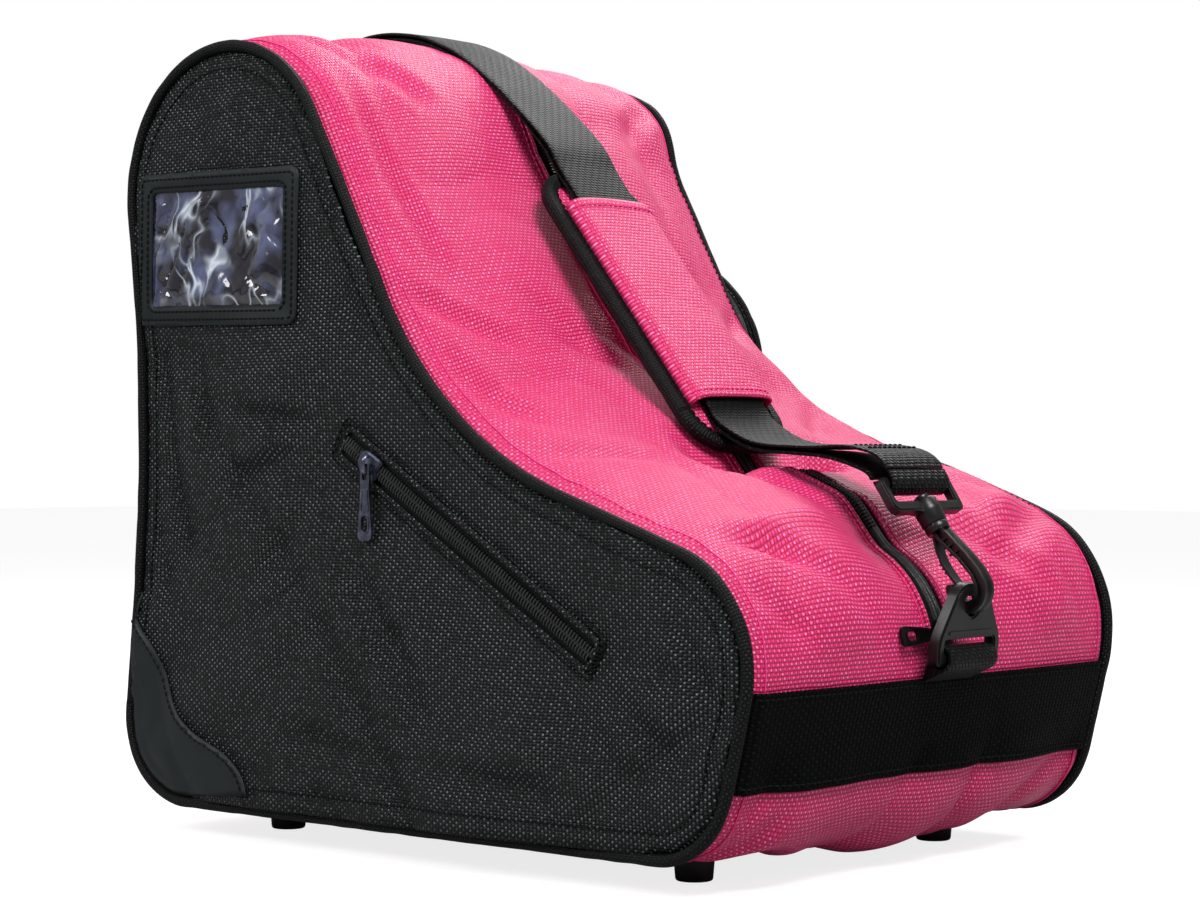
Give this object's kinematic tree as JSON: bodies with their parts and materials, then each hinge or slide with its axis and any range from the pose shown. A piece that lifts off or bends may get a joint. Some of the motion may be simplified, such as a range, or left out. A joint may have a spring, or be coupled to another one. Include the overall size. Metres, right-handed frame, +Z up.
{
  "type": "skate bag",
  "caption": "Boot-shaped zipped bag for a pair of skates, with side pockets, an ID window, feet and a padded clip-on shoulder strap.",
  "frame": {"origin": "on the floor, under the middle of the whole bag's box", "axes": "+X from heel to toe, +Y from the side with the ID window to the side with the arched pocket, +Z up"},
  "size_m": [0.404, 0.285, 0.3604],
  "materials": {
    "pink_fabric": "hot pink plain-weave polyester, matt with a light sheen",
    "black_fabric": "coarse black ballistic plain weave",
    "webbing": "ribbed black polypropylene webbing",
    "piping": "woven black binding tape over a cord",
    "faux_leather": "smooth matt black faux leather",
    "clear_vinyl": "clear flexible vinyl, wrinkled and glossy",
    "black_plastic": "satin black moulded acetal",
    "foot_plastic": "matt black moulded plastic",
    "zip_coil": "black zip tape with a nylon coil",
    "gunmetal": "blue-grey gunmetal, satin",
    "rivet_steel": "plain steel",
    "base_board": "black plastic sheet",
    "lining": "thin black lining"
  },
  "bodies": {
    "bag": {"gusset_upper_near": "pink_fabric", "gusset_upper_far": "pink_fabric", "gusset_bottom": "pink_fabric", "side_panel_near": "black_fabric", "side_panel_far": "black_fabric", "far_pocket_wall": "black_fabric", "far_pocket_gusset": "black_fabric", "far_pocket_front": "black_fabric", "toe_band": "webbing", "heel_band": "webbing", "front_tab": "webbing", "rear_tab": "webbing", "strap_outer_layer": "webbing", "strap_inner_layer": "webbing", "piping_near": "piping", "piping_far": "piping", "id_window_frame": "faux_leather", "corner_patch_near": "faux_leather", "corner_patch_far": "faux_leather", "id_window_pane": "clear_vinyl", "foot_front_near": "foot_plastic", "foot_front_far": "foot_plastic", "foot_rear_near": "foot_plastic", "foot_rear_far": "foot_plastic", "main_zip_tape_near": "zip_coil", "main_zip_tape_far": "zip_coil", "side_zip_tape_upper": "zip_coil", "side_zip_tape_lower": "zip_coil", "far_zip_tape_inner": "zip_coil", "far_zip_tape_outer": "zip_coil", "foot_rivet_front_near": "rivet_steel", "foot_rivet_front_far": "rivet_steel", "foot_rivet_rear_near": "rivet_steel", "foot_rivet_rear_far": "rivet_steel", "base_board": "base_board", "side_pocket_pouch": "lining"},
    "main_zip_slider": {"main_zip_slider": "gunmetal"},
    "main_zip_pull": {"main_zip_pull": "gunmetal"},
    "side_zip_slider": {"side_zip_slider": "gunmetal"},
    "side_zip_pull": {"side_zip_pull": "gunmetal"},
    "far_zip_slider": {"far_zip_slider": "gunmetal"},
    "far_zip_pull": {"far_zip_pull": "gunmetal"},
    "front_ring": {"front_ring": "black_plastic"},
    "front_hook": {"front_hook": "black_plastic"},
    "front_gate": {"front_gate": "black_plastic"},
    "front_swivel": {"front_swivel_frame": "black_plastic", "strap_front_loop": "webbing"},
    "rear_ring": {"rear_ring": "black_plastic"},
    "rear_hook": {"rear_hook": "black_plastic"},
    "rear_gate": {"rear_gate": "black_plastic"},
    "rear_swivel": {"rear_swivel_frame": "black_plastic", "strap_rear_loop": "webbing"},
    "strap_adjuster": {"strap_adjuster": "black_plastic"},
    "shoulder_pad": {"shoulder_pad_base": "pink_fabric", "shoulder_pad_binding": "piping", "shoulder_pad_sleeve": "pink_fabric"}
  },
  "joints": [
    {"name": "main_zip_slide", "type": "hinge", "parent": "bag", "child": "main_zip_slider", "pos_m": [0.131, -0.01405, 0.085], "axis": [0, -1, 0], "range_deg": [0, 50]},
    {"name": "main_zip_pull_lift", "type": "hinge", "parent": "main_zip_slider", "child": "main_zip_pull", "pos_m": [0.18186, -0.01405, 0.09535], "axis": [-0.1994, 0, 0.9799], "range_deg": [0, 10]},
    {"name": "side_zip_slide", "type": "slide", "parent": "bag", "child": "side_zip_slider", "axis": [0.8588, 0, -0.5122], "range_m": [-0.012, 0.134]},
    {"name": "side_zip_pull_lift", "type": "hinge", "parent": "side_zip_slider", "child": "side_zip_pull", "pos_m": [-0.01932, -0.14045, 0.16176], "axis": [-1, 0, 0], "range_deg": [0, 120]},
    {"name": "far_zip_slide", "type": "hinge", "parent": "bag", "child": "far_zip_slider", "pos_m": [-0.0925, 0.12795, 0.2045], "axis": [0, 1, 0], "range_deg": [0, 158]},
    {"name": "far_zip_pull_lift", "type": "hinge", "parent": "far_zip_slider", "child": "far_zip_pull", "pos_m": [-0.1533, 0.12795, 0.21305], "axis": [0, 1, 0], "range_deg": [0, 120]},
    {"name": "front_ring_tilt", "type": "hinge", "parent": "bag", "child": "front_ring", "pos_m": [0.1895, -0.01405, 0.0862], "axis": [0, 1, 0], "range_deg": [0, 20]},
    {"name": "front_hook_tilt", "type": "hinge", "parent": "front_ring", "child": "front_hook", "pos_m": [0.1926, -0.01405, 0.11302], "axis": [0, 1, 0], "range_deg": [0, 15]},
    {"name": "front_gate_open", "type": "hinge", "parent": "front_hook", "child": "front_gate", "pos_m": [0.17664, -0.01405, 0.13243], "axis": [0, -1, 0], "range_deg": [0, 16], "stiffness_Nm_per_rad": 0.02, "springref_deg": -5.73},
    {"name": "front_swivel_turn", "type": "hinge", "parent": "front_hook", "child": "front_swivel", "pos_m": [0.1926, -0.01405, 0.11302], "axis": [-0.5519, 0, 0.8339], "range_deg": [-15, 15]},
    {"name": "rear_ring_tilt", "type": "hinge", "parent": "bag", "child": "rear_ring", "pos_m": [-0.1895, -0.01405, 0.0862], "axis": [0, -1, 0], "range_deg": [0, 20]},
    {"name": "rear_hook_tilt", "type": "hinge", "parent": "rear_ring", "child": "rear_hook", "pos_m": [-0.1926, -0.01405, 0.11302], "axis": [0, -1, 0], "range_deg": [0, 15]},
    {"name": "rear_gate_open", "type": "hinge", "parent": "rear_hook", "child": "rear_gate", "pos_m": [-0.18486, -0.01405, 0.13693], "axis": [0, 1, 0], "range_deg": [0, 16], "stiffness_Nm_per_rad": 0.02, "springref_deg": -5.73},
    {"name": "rear_swivel_turn", "type": "hinge", "parent": "rear_hook", "child": "rear_swivel", "pos_m": [-0.1926, -0.01405, 0.11302], "axis": [0.2079, 0, 0.9781], "range_deg": [-15, 15]},
    {"name": "strap_adjuster_slide", "type": "slide", "parent": "bag", "child": "strap_adjuster", "axis": [0, 0, 1], "range_m": [-0.022, 0.025]},
    {"name": "shoulder_pad_slide", "type": "slide", "parent": "bag", "child": "shoulder_pad", "axis": [0.632, 0, -0.7749], "range_m": [-0.008, 0.008]}
  ]
}
